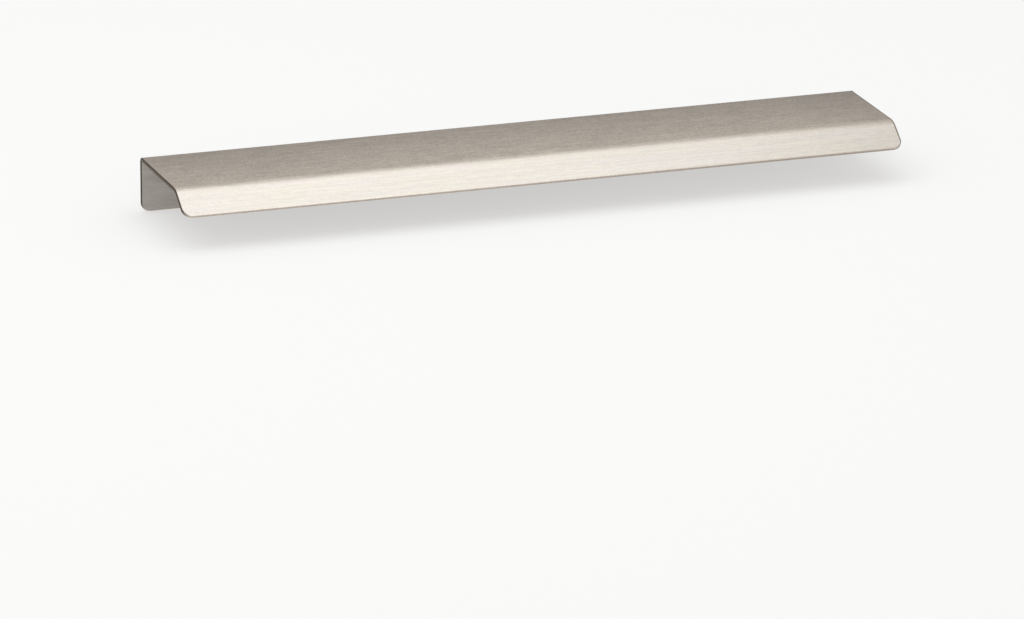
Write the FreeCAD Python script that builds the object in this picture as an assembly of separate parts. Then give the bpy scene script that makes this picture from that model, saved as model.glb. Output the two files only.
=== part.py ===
import FreeCAD, Part
import math
import os

from FreeCAD import Vector

# Edge pull for a door or drawer front, folded from one strip of sheet steel.
# The plate lies on the top edge of the front, the flange hangs down behind it and takes the
# screws, and the lip leans out and down in front of it for the fingers.
# X runs along the pull, -Y faces the room and Z is up. The origin is midway between the two
# screw holes, on the face of the flange that meets the back of the door. Sizes are in millimetres.

# Sheet and its folds
pull_length = 200.0
sheet_thickness = 1.0
plate_depth = 32.0
lip_length = 9.3
lip_angle = 35.0
flange_height = 15.0
front_bend_radius = 5.0
rear_bend_radius = 0.5

# Corners and arrises
lip_corner_radius = 2.8
flange_corner_radius = 2.5
edge_break = 0.2

# Screw holes
screw_spacing = 160.0
screw_hole_diameter = 4.2
screw_hole_drop = 7.5

# Places that follow from the sizes above, in the plane across the pull
half_length = pull_length / 2
underside_z = screw_hole_drop
top_z = underside_z + sheet_thickness
flange_back_y = sheet_thickness
flange_end_z = top_z - flange_height
fold_y = flange_back_y - plate_depth
lip_slope = math.radians(lip_angle)
lip_down = Vector(0, -math.cos(lip_slope), -math.sin(lip_slope))
lip_inward = Vector(0, math.sin(lip_slope), -math.cos(lip_slope))


def rounded_path(corners, bend_radii):
    """Straight runs through the corners, with a tangent arc of the given radius at each inner one."""
    edges = []
    start = corners[0]
    for before, corner, after, radius in zip(corners, corners[1:], corners[2:], bend_radii):
        back = (before - corner).normalize()
        onward = (after - corner).normalize()
        half_angle = back.getAngle(onward) / 2
        bisector = (back + onward).normalize()
        run = radius / math.tan(half_angle)
        centre = corner + bisector * (radius / math.sin(half_angle))
        arc_start = corner + back * run
        arc_end = corner + onward * run
        edges.append(Part.makeLine(start, arc_start))
        edges.append(Part.Arc(arc_start, centre - bisector * radius, arc_end).toShape())
        start = arc_end
    edges.append(Part.makeLine(start, corners[-1]))
    return edges


def fold_section():
    """Section of the folded sheet across the pull, as a face at its left end."""
    left = -half_length
    lip_fold_shift = sheet_thickness * math.tan(lip_slope / 2)
    outer_fold = Vector(left, fold_y, top_z)
    outer_tip = outer_fold + lip_down * lip_length
    inner_tip = outer_tip + lip_inward * sheet_thickness
    outer_corners = [
        Vector(left, flange_back_y, flange_end_z),
        Vector(left, flange_back_y, top_z),
        outer_fold,
        outer_tip,
    ]
    inner_corners = [
        Vector(left, 0, flange_end_z),
        Vector(left, 0, underside_z),
        Vector(left, fold_y + lip_fold_shift, underside_z),
        inner_tip,
    ]
    outer_radii = [rear_bend_radius + sheet_thickness, front_bend_radius + sheet_thickness]
    inner_radii = [rear_bend_radius, front_bend_radius]
    edges = rounded_path(outer_corners, outer_radii)
    edges += rounded_path(inner_corners, inner_radii)
    edges.append(Part.makeLine(outer_tip, inner_tip))
    edges.append(Part.makeLine(outer_corners[0], inner_corners[0]))
    return Part.Face(Part.Wire(Part.__sortEdges__(edges)))


def corner_edges(sheet, end_z):
    """The two short edges through the sheet's thickness at the corners of its lip or flange end."""
    found = []
    for edge in sheet.Edges:
        middle = edge.CenterOfMass
        at_an_end = abs(abs(middle.x) - half_length) < 1e-6
        if at_an_end and abs(middle.z - end_z) < 1e-6 and abs(edge.Length - sheet_thickness) < 1e-6:
            found.append(edge)
    return found


def round_corners(sheet):
    """Round the lower corners of the lip and of the flange, square to the sheet."""
    lip_end_z = top_z + lip_down.z * lip_length + lip_inward.z * sheet_thickness / 2
    sheet = sheet.makeFillet(lip_corner_radius, corner_edges(sheet, lip_end_z))
    return sheet.makeFillet(flange_corner_radius, corner_edges(sheet, flange_end_z))


def break_arrises(sheet):
    """Take the sharpness off the arris that runs all round each side of the sheet."""
    full_length = pull_length - 1e-6
    broad_faces = [face for face in sheet.Faces if face.BoundBox.XLength > full_length]
    cut_faces = [face for face in sheet.Faces if face.BoundBox.XLength < full_length]
    broad_edges = [edge for face in broad_faces for edge in face.Edges]
    arrises = []
    for face in cut_faces:
        arrises += [edge for edge in face.Edges if any(edge.isSame(other) for other in broad_edges)]
    return sheet.makeFillet(edge_break, arrises)


def screw_holes():
    """Two round holes through the flange."""
    holes = []
    radius = screw_hole_diameter / 2
    for side in (-1, 1):
        mouth = Vector(side * screw_spacing / 2, -sheet_thickness, 0)
        holes.append(Part.makeCylinder(radius, 3 * sheet_thickness, mouth, Vector(0, 1, 0)))
    return Part.makeCompound(holes)


def folded_pull():
    """The whole pull: the section drawn out to length, its corners rounded and the flange drilled."""
    sheet = fold_section().extrude(Vector(pull_length, 0, 0))
    sheet = round_corners(sheet)
    sheet = break_arrises(sheet)
    return sheet.cut(screw_holes()).Solids[0]


os.makedirs("parts", exist_ok=True)
pull = folded_pull()
pull.exportStep("parts/folded_pull.step")
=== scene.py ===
import math

import bmesh
import bpy
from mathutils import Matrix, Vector


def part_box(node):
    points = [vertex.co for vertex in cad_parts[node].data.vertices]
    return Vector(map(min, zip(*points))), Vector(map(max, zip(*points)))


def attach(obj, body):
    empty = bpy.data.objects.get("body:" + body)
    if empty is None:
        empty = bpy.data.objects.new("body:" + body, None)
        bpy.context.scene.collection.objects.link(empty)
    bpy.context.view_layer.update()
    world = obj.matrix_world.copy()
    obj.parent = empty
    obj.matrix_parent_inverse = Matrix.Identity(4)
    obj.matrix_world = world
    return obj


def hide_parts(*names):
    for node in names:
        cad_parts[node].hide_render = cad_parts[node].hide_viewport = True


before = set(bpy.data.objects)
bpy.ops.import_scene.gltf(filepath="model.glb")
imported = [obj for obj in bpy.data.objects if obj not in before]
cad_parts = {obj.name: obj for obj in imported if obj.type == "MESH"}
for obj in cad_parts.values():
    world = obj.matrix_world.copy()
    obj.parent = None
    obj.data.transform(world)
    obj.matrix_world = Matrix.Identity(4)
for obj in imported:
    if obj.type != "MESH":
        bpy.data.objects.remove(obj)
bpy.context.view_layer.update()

# The pull is one strip of 1 mm stainless sheet, belt-brushed along its length and folded twice
# on a press: down behind the door, and out over the front into a lip. Its ends are cropped, its
# corners rounded and its arrises eased, and two screw holes are punched through the flange.
sheet_low, sheet_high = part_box("folded_pull")
sheet_thickness = 0.001
plate_depth = 0.032
lip_length = 0.0093
lip_angle = math.radians(35)
lip_fold_inner_radius = 0.005
flange_fold_inner_radius = 0.0005
fold_steps = 16
lip_corner_radius = 0.0028
flange_corner_radius = 0.0025
corner_steps = 12
edge_break = 0.0002
edge_break_steps = 3
screw_spacing = 0.16
screw_hole_radius = 0.0021
hole_steps = 48
least_arris_angle = math.radians(50)
most_smooth_angle = math.radians(40)

pull_length = sheet_high.x - sheet_low.x
top_z = sheet_high.z
lip_fold_radius = lip_fold_inner_radius + sheet_thickness
flange_fold_radius = flange_fold_inner_radius + sheet_thickness
fold_run = lip_fold_radius * math.tan(lip_angle / 2)
flat_front_y = sheet_high.y - plate_depth + fold_run
flat_back_y = sheet_high.y - flange_fold_radius
lip_run = lip_length - fold_run
flange_run = top_z - flange_fold_radius - sheet_low.z
lip_slope = Vector((0, -math.cos(lip_angle), -math.sin(lip_angle)))
near = 1e-6


def pick(piece, kind, wanted):
    """Selects, in edit mode, only the vertices or edges that lie wholly where the test says."""
    bpy.ops.mesh.select_all(action="DESELECT")
    mesh = bmesh.from_edit_mesh(piece.data)
    if kind == "vertices":
        for vertex in mesh.verts:
            vertex.select_set(wanted(vertex.co))
    else:
        for edge in mesh.edges:
            edge.select_set(all(wanted(vertex.co) for vertex in edge.verts))
    bmesh.update_edit_mesh(piece.data)


def finish_with(piece, kind, **settings):
    """Adds one modifier with these settings and applies it."""
    modifier = piece.modifiers.new(kind, kind)
    for name, value in settings.items():
        setattr(modifier, name, value)
    bpy.ops.object.modifier_apply(modifier=modifier.name)


bpy.ops.object.select_all(action="DESELECT")
bpy.ops.mesh.primitive_plane_add(size=1, location=(0, (flat_back_y + flat_front_y) / 2, top_z))
pull = bpy.context.object
pull.name = "brushed_pull"
pull.scale = (pull_length, flat_back_y - flat_front_y, 1)
bpy.ops.object.transform_apply(location=True, rotation=True, scale=True)

bpy.ops.object.mode_set(mode="EDIT")
bpy.context.tool_settings.mesh_select_mode = (True, True, False)
pick(pull, "edges", lambda place: abs(place.y - flat_front_y) < near)
lip_fold_centre = (0, flat_front_y, top_z - lip_fold_radius)
bpy.ops.mesh.spin(steps=fold_steps, angle=-lip_angle, axis=(1, 0, 0), center=lip_fold_centre)
bpy.ops.mesh.extrude_edges_move(TRANSFORM_OT_translate={"value": lip_slope * lip_run})
lip_end_y = min(vertex.co.y for vertex in bmesh.from_edit_mesh(pull.data).verts)
pick(pull, "edges", lambda place: abs(place.y - flat_back_y) < near)
flange_fold_centre = (0, flat_back_y, top_z - flange_fold_radius)
bpy.ops.mesh.spin(steps=fold_steps, angle=math.pi / 2, axis=(1, 0, 0), center=flange_fold_centre)
bpy.ops.mesh.extrude_edges_move(TRANSFORM_OT_translate={"value": (0, 0, -flange_run)})
pick(pull, "vertices", lambda place: place.y < lip_end_y + near)
bpy.ops.mesh.bevel(offset=lip_corner_radius, segments=corner_steps, affect="VERTICES")
pick(pull, "vertices", lambda place: place.z < sheet_low.z + near)
bpy.ops.mesh.bevel(offset=flange_corner_radius, segments=corner_steps, affect="VERTICES")
bpy.ops.mesh.select_all(action="SELECT")
bpy.ops.mesh.normals_make_consistent(inside=False)
bpy.ops.object.mode_set(mode="OBJECT")


def worked_out(tree, operation, *values):
    """One step of arithmetic. Each value is a socket or a number."""
    step = tree.nodes.new("ShaderNodeMath")
    step.operation = operation
    for slot, value in zip(step.inputs, values):
        if isinstance(value, bpy.types.NodeSocket):
            tree.links.new(value, slot)
        else:
            slot.default_value = value
    return step.outputs["Value"]


def mapped(tree, value, start, end, low=0.0, high=1.0):
    """The value, with its span from start to end taken to the span from low to high."""
    span = tree.nodes.new("ShaderNodeMapRange")
    for name, limit in (("From Min", start), ("From Max", end), ("To Min", low), ("To Max", high)):
        span.inputs[name].default_value = limit
    tree.links.new(value, span.inputs["Value"])
    return span.outputs["Result"]


def ramped(tree, value, stops, interpolation="LINEAR"):
    """A run of colours over the value, with its stops given as pairs of place and colour."""
    ramp = tree.nodes.new("ShaderNodeValToRGB")
    ramp.color_ramp.interpolation = interpolation
    elements = ramp.color_ramp.elements
    for element, (position, colour) in zip(elements, (stops[0], stops[-1])):
        element.position = position
        element.color = (*colour, 1)
    for position, colour in stops[1:-1]:
        elements.new(position).color = (*colour, 1)
    tree.links.new(value, ramp.inputs["Fac"])
    return ramp.outputs["Color"]


def blended(tree, first, second, factor, blend="MIX"):
    """Two colours, blended by the factor. Each of the three is a socket or a value."""
    mix = tree.nodes.new("ShaderNodeMix")
    mix.data_type = "RGBA"
    mix.blend_type = blend
    for name, value in (("Factor", factor), ("A", first), ("B", second)):
        if isinstance(value, bpy.types.NodeSocket):
            tree.links.new(value, mix.inputs[name])
        else:
            mix.inputs[name].default_value = value
    return mix.outputs["Result"]


def parts_of(tree, vector):
    """The X, Y and Z of a vector."""
    split = tree.nodes.new("ShaderNodeSeparateXYZ")
    tree.links.new(vector, split.inputs["Vector"])
    return split.outputs


def place_on_piece(tree):
    """Where the shaded point is on the piece."""
    return tree.nodes.new("ShaderNodeTexCoord").outputs["Object"]


# Belt grain, shared by all the pull's finishes: noise drawn out along the pull into streaks.
grain = bpy.data.node_groups.new("belt_grain", "ShaderNodeTree")
for name, kind in (
    ("Vector", "NodeSocketVector"),
    ("Streak Length", "NodeSocketFloat"),
    ("Streak Width", "NodeSocketFloat"),
    ("Detail", "NodeSocketFloat"),
):
    grain.interface.new_socket(name, in_out="INPUT", socket_type=kind)
grain.interface.new_socket("Streaks", in_out="OUTPUT", socket_type="NodeSocketFloat")
grain_in = grain.nodes.new("NodeGroupInput").outputs
grain_out = grain.nodes.new("NodeGroupOutput")
drawn_out = grain.nodes.new("ShaderNodeCombineXYZ")
unstretched = parts_of(grain, grain_in["Vector"])
for axis, size in (("X", "Streak Length"), ("Y", "Streak Width"), ("Z", "Streak Width")):
    in_streaks = worked_out(grain, "DIVIDE", unstretched[axis], grain_in[size])
    grain.links.new(in_streaks, drawn_out.inputs[axis])
noise = grain.nodes.new("ShaderNodeTexNoise")
noise.inputs["Scale"].default_value = 1.0
noise.inputs["Roughness"].default_value = 0.6
grain.links.new(drawn_out.outputs["Vector"], noise.inputs["Vector"])
grain.links.new(grain_in["Detail"], noise.inputs["Detail"])
grain.links.new(noise.outputs["Fac"], grain_out.inputs["Streaks"])


def streaked(tree, streak_length, streak_width, detail=1.0):
    """One layer of the belt grain, with streaks of this size."""
    layer = tree.nodes.new("ShaderNodeGroup")
    layer.node_tree = grain
    layer.inputs["Streak Length"].default_value = streak_length
    layer.inputs["Streak Width"].default_value = streak_width
    layer.inputs["Detail"].default_value = detail
    tree.links.new(place_on_piece(tree), layer.inputs["Vector"])
    return layer.outputs["Streaks"]


def steel(name, tones, roughness, streaks, waves, wave_height, anisotropy=0.0):
    """One finish of the steel. Its streaks, given as pairs of length and width, mix in equal shares
    and carry its tone and roughness from the first to the second. The waves, longer and wider
    streaks, cut its surface to the given height."""
    faintest, strongest = 0.38, 0.62
    material = bpy.data.materials.new(name)
    material.use_nodes = True
    tree = material.node_tree
    shader = tree.nodes["Principled BSDF"]
    shader.inputs["Metallic"].default_value = 1.0
    shader.inputs["Anisotropic"].default_value = anisotropy
    shader.inputs["Anisotropic Rotation"].default_value = 0.25
    along = tree.nodes.new("ShaderNodeTangent")
    along.direction_type = "UV_MAP"
    tree.links.new(along.outputs["Tangent"], shader.inputs["Tangent"])
    total = 0.0
    for streak_length, streak_width in streaks:
        layer = streaked(tree, streak_length, streak_width)
        total = worked_out(tree, "MULTIPLY_ADD", layer, 1 / len(streaks), total)
    tone = ramped(tree, total, ((faintest, tones[0]), (strongest, tones[1])))
    tree.links.new(tone, shader.inputs["Base Color"])
    polish = mapped(tree, total, faintest, strongest, *roughness)
    tree.links.new(polish, shader.inputs["Roughness"])
    relief = tree.nodes.new("ShaderNodeBump")
    relief.inputs["Strength"].default_value = 1.0
    relief.inputs["Distance"].default_value = wave_height
    tree.links.new(streaked(tree, *waves, detail=2.0), relief.inputs["Height"])
    tree.links.new(relief.outputs["Normal"], shader.inputs["Normal"])
    return material


brushed = steel(
    "brushed_steel",
    tones=((0.607, 0.534, 0.465), (0.738, 0.649, 0.566)),
    roughness=(0.32, 0.36),
    streaks=((0.0006, 0.0003), (0.003, 0.0003), (0.025, 0.0004)),
    waves=(0.003, 0.0007),
    wave_height=2e-5,
    anisotropy=0.6,
)
rolled = steel(
    "rolled_steel",
    tones=((0.4, 0.375, 0.34), (0.46, 0.435, 0.4)),
    roughness=(0.42, 0.36),
    streaks=((0.004, 0.0006), (0.02, 0.003)),
    waves=(0.01, 0.002),
    wave_height=2e-6,
    anisotropy=0.2,
)
cropped = steel(
    "cropped_edge",
    tones=((0.8, 0.8, 0.8), (1.0, 1.0, 1.0)),
    roughness=(0.55, 0.42),
    streaks=((0.0004, 0.0004),),
    waves=(0.0005, 0.0005),
    wave_height=1e-5,
)
eased = steel(
    "eased_arris",
    tones=((0.85, 0.85, 0.85), (1.0, 1.0, 1.0)),
    roughness=(0.5, 0.42),
    streaks=((0.0004, 0.0004),),
    waves=(0.0005, 0.0005),
    wave_height=1e-5,
)

# The plate is lighter in front than at the back and darker towards its ends, and its coarser
# streaks stop at the lip. These tones are fitted to the photograph and are painted reflection and
# painted shade, what the sheet mirrors there put into its colour. The thin brown line along the right
# end is painted shade too.
coarse_streaks = ((0.0004, 0.0008, 0.6), (0.0018, 0.0008, 0.35), (0.01, 0.0009, 0.35))
# Tones of the painted reflection and shade, from the back of the sheet to the lip:
back_reflection_tone = (0.685, 0.683, 0.67)
past_fold_reflection_tone = (0.7, 0.698, 0.685)
fold_shade_tone = (0.625, 0.605, 0.58)
front_reflection_tone = (0.975, 0.973, 0.954)
lip_reflection_tone = (0.911, 0.958, 0.995)
# Painted shade along the right end: a thin brown line for the dark that the right arris mirrors.
right_edge_shade_tone = (0.42, 0.32, 0.23, 1)
right_edge_shade_start = sheet_high.x - edge_break * 2.3
right_edge_shade_full = sheet_high.x - edge_break * 1.9

tree = brushed.node_tree
shader = tree.nodes["Principled BSDF"]
place = parts_of(tree, place_on_piece(tree))
into_fold_y = flat_front_y - lip_fold_radius / 2
on_plate = mapped(tree, place["Y"], flat_front_y, into_fold_y, 1.0, 0.0)
off_plate = mapped(tree, place["Y"], flat_front_y, into_fold_y)

coarse = -sum(share for streak_length, streak_width, share in coarse_streaks) / 2
for streak_length, streak_width, share in coarse_streaks:
    layer = streaked(tree, streak_length, streak_width)
    coarse = worked_out(tree, "MULTIPLY_ADD", layer, share, coarse)
coarse = worked_out(tree, "MULTIPLY_ADD", coarse, on_plate, 1.0)

plate_share = (sheet_high.y - flat_front_y) / (sheet_high.y - lip_end_y)
forwards = mapped(tree, place["Y"], sheet_high.y, lip_end_y)
# Painted reflection and shade from back to front: darker at the back, a darker band in the back fold,
# lighter in front, cooler on the lip.
painted_reflections_back_to_front = ramped(tree, forwards, (
    (0.0, back_reflection_tone),
    (0.03, fold_shade_tone),
    (0.055, past_fold_reflection_tone),
    (plate_share, front_reflection_tone),
    (plate_share + 0.1, lip_reflection_tone),
))
sideways = mapped(tree, place["X"], sheet_low.x, sheet_high.x)
# Painted shade: the plate darkens towards both ends, most towards the right.
painted_shade_towards_ends = ramped(tree, sideways, (
    (0.12, (0.96, 0.96, 0.96)),
    (0.35, (1.0, 1.0, 1.0)),
    (0.52, (1.0, 1.0, 1.0)),
    (0.64, (0.985, 0.985, 0.985)),
    (0.86, (0.965, 0.965, 0.965)),
    (1.0, (0.85, 0.84, 0.84)),
), "EASE")
clouds = streaked(tree, 0.02, 0.002, detail=2.0)
tinted = ramped(tree, clouds, ((0.35, (1.0, 0.99, 1.005)), (0.65, (1.0, 1.0, 0.955))))
# Painted shade: the thin brown line at the right end.
right_edge_shade = mapped(tree, place["X"], right_edge_shade_start, right_edge_shade_full)

tone = shader.inputs["Base Color"].links[0].from_socket
# The back-to-front tones, the darkening towards the ends and the brown line are painted reflection and
# shade; the coarse streaks and the tint clouds are grain.
for change, where in (
    (painted_reflections_back_to_front, 1.0),
    (coarse, 1.0),
    (tinted, off_plate),
    (painted_shade_towards_ends, on_plate),
    (right_edge_shade_tone, right_edge_shade),
):
    tone = blended(tree, tone, change, where, "MULTIPLY")
tree.links.new(tone, shader.inputs["Base Color"])

# The edges that the coil was slit to are bare metal; they are brighter towards the left, a painted
# highlight, as they look in the photograph. The cropped ends are painted dark, darkest on the arrises:
# painted shade for the dark they mirror, and there they are not metallic.
end_shade_start = pull_length / 2 - lip_corner_radius * 0.6
highlight_until = -pull_length / 6
highlight_gone_from = pull_length * 0.4
for finish, left_highlight_tone, right_slit_tone, end_shade_tone in (
    (cropped, (0.61, 0.53, 0.46, 1), (0.49, 0.42, 0.365, 1), (0.108, 0.082, 0.058, 1)),
    (eased, (0.9, 0.82, 0.74, 1), (0.64, 0.57, 0.5, 1), (0.026, 0.015, 0.007, 1)),
):
    tree = finish.node_tree
    shader = tree.nodes["Principled BSDF"]
    shader.inputs["Specular IOR Level"].default_value = 0.1
    mottle = shader.inputs["Base Color"].links[0].from_socket
    place = parts_of(tree, place_on_piece(tree))
    outwards = worked_out(tree, "ABSOLUTE", place["X"])
    # Painted shade: the cropped ends and their arrises go dark and lose their metal shine.
    end_shade = mapped(tree, outwards, end_shade_start, pull_length / 2)
    metallic_off_ends = mapped(tree, outwards, end_shade_start, pull_length / 2, 1.0, 0.0)
    # Painted highlight: the slit edges are brighter towards the left.
    rightwards = mapped(tree, place["X"], highlight_until, highlight_gone_from)
    slit_tone = blended(tree, left_highlight_tone, right_slit_tone, rightwards)
    edge_tone = blended(tree, slit_tone, end_shade_tone, end_shade)
    tone = blended(tree, mottle, edge_tone, 1.0, "MULTIPLY")
    tree.links.new(tone, shader.inputs["Base Color"])
    tree.links.new(metallic_off_ends, shader.inputs["Metallic"])

finishes = (brushed, rolled, cropped, eased)
for finish in finishes:
    pull.data.materials.append(finish)
finish_with(
    pull,
    "SOLIDIFY",
    thickness=sheet_thickness,
    offset=-1,
    use_even_offset=True,
    material_offset=finishes.index(rolled),
    material_offset_rim=finishes.index(cropped),
)
for side in (-1, 1):
    bpy.ops.mesh.primitive_cylinder_add(
        vertices=hole_steps,
        radius=screw_hole_radius,
        depth=sheet_thickness * 3,
        location=(side * screw_spacing / 2, sheet_thickness / 2, 0),
        rotation=(math.pi / 2, 0, 0),
    )
    punch = bpy.context.object
    punch.data.materials.append(cropped)
    bpy.context.view_layer.objects.active = pull
    finish_with(pull, "BOOLEAN", object=punch, operation="DIFFERENCE", material_mode="TRANSFER")
    bpy.data.objects.remove(punch)
finish_with(
    pull,
    "BEVEL",
    width=edge_break,
    segments=edge_break_steps,
    limit_method="ANGLE",
    angle_limit=least_arris_angle,
    material=finishes.index(eased),
)
bpy.ops.object.select_all(action="DESELECT")
pull.select_set(True)
bpy.ops.object.shade_smooth_by_angle(angle=most_smooth_angle)
finish_with(pull, "WEIGHTED_NORMAL", keep_sharp=True)
bpy.ops.object.mode_set(mode="EDIT")
bpy.ops.mesh.select_all(action="SELECT")
bpy.ops.uv.cube_project(cube_size=pull_length)
bpy.ops.object.mode_set(mode="OBJECT")
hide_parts("folded_pull")
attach(pull, "root")

# A plain pale floor, level with the lowest edge of the flange. About half of its paleness is its
# own, for what the camera and mirrors see of it, so that it looks pale in the shadow too.
floor_width = 8
floor_glow = 0.55
bpy.ops.object.select_all(action="DESELECT")
bpy.ops.mesh.primitive_plane_add(size=floor_width, location=(0, 0, sheet_low.z))
floor = bpy.context.object
floor.name = "floor"
paint = bpy.data.materials.new("pale_paint")
paint.use_nodes = True
tree = paint.node_tree
shader = tree.nodes["Principled BSDF"]
shader.inputs["Base Color"].default_value = (0.92, 0.91, 0.89, 1)
shader.inputs["Roughness"].default_value = 0.9
shader.inputs["Specular IOR Level"].default_value = 0.2
glow = tree.nodes.new("ShaderNodeEmission")
glow.inputs["Color"].default_value = (0.95, 0.948, 0.943, 1)
seen = tree.nodes.new("ShaderNodeLightPath")
shown = 0.0
for ray in ("Is Camera Ray", "Is Glossy Ray", "Is Transmission Ray"):
    shown = worked_out(tree, "MULTIPLY_ADD", seen.outputs[ray], floor_glow, shown)
both = tree.nodes.new("ShaderNodeMixShader")
tree.links.new(shown, both.inputs["Fac"])
tree.links.new(shader.outputs["BSDF"], both.inputs[1])
tree.links.new(glow.outputs["Emission"], both.inputs[2])
tree.links.new(both.outputs["Shader"], tree.nodes["Material Output"].inputs["Surface"])
floor.data.materials.append(paint)


# Soft studio light: a wide lamp overhead, a little to the left, and one far in front, in a pale
# room that is brighter above than below, and brighter in front of the pull than behind it.
def softbox(name, radiance, width, height, place):
    """A rectangular lamp of this radiance. It faces down until it is turned."""
    data = bpy.data.lights.new(name, "AREA")
    data.shape = "RECTANGLE"
    data.size = width
    data.size_y = height
    data.energy = radiance * math.pi * width * height
    lamp = bpy.data.objects.new(name, data)
    lamp.location = place
    bpy.context.collection.objects.link(lamp)
    return lamp


overhead = softbox("overhead_softbox", 1.08, 1.5, 1.1, (-0.278, 0, 1.0))
overhead.data.color = (0.9, 0.95, 1.0)
front_place = Vector((-0.3, -2.6, 0.7))
front = softbox("front_softbox", 1.6, 1.6, 1.0, front_place)
front.rotation_euler = front_place.to_track_quat("Z", "Y").to_euler()

room_floor_level = 0.295
room_top_level = 0.67
room_front_gain = 0.36
room = bpy.data.worlds.new("pale_room")
room.use_nodes = True
tree = room.node_tree
direction = parts_of(tree, tree.nodes.new("ShaderNodeTexCoord").outputs["Generated"])
height_level = mapped(tree, direction["Z"], 0.0, 0.5, room_floor_level, room_top_level)
front_gain = mapped(tree, direction["Y"], 0.0, -1.0, 0.0, room_front_gain)
background = tree.nodes["Background"]
background.inputs["Color"].default_value = (1.0, 0.995, 0.985, 1)
tree.links.new(worked_out(tree, "ADD", height_level, front_gain), background.inputs["Strength"])
bpy.context.scene.world = room

# The camera looks down on the pull from the front and the left through a long lens. The middle of
# the picture is below the pull.
camera_azimuth = math.radians(-18.92)
camera_elevation = math.radians(17.2)
camera_distance = 2.368
picture_width = 1024
focal_length_pixels = 9000
pull_right_of_middle = 0.00714
pull_above_middle = 0.04085
lens = bpy.data.cameras.new("long_lens")
lens.sensor_width = 36.0
lens.lens = lens.sensor_width * focal_length_pixels / picture_width
camera = bpy.data.objects.new("long_lens", lens)
bpy.context.collection.objects.link(camera)
towards_camera = Vector((
    math.sin(camera_azimuth) * math.cos(camera_elevation),
    -math.cos(camera_azimuth) * math.cos(camera_elevation),
    math.sin(camera_elevation),
))
turn = towards_camera.to_track_quat("Z", "Y")
picture_right = turn @ Vector((1, 0, 0))
picture_up = turn @ Vector((0, 1, 0))
lip_fold_middle = Vector((0, sheet_high.y - plate_depth, top_z))
picture_middle = lip_fold_middle - picture_right * pull_right_of_middle - picture_up * pull_above_middle
camera.rotation_euler = turn.to_euler()
camera.location = picture_middle + towards_camera * camera_distance
bpy.context.scene.camera = camera
bpy.context.scene.view_settings.view_transform = "Standard"
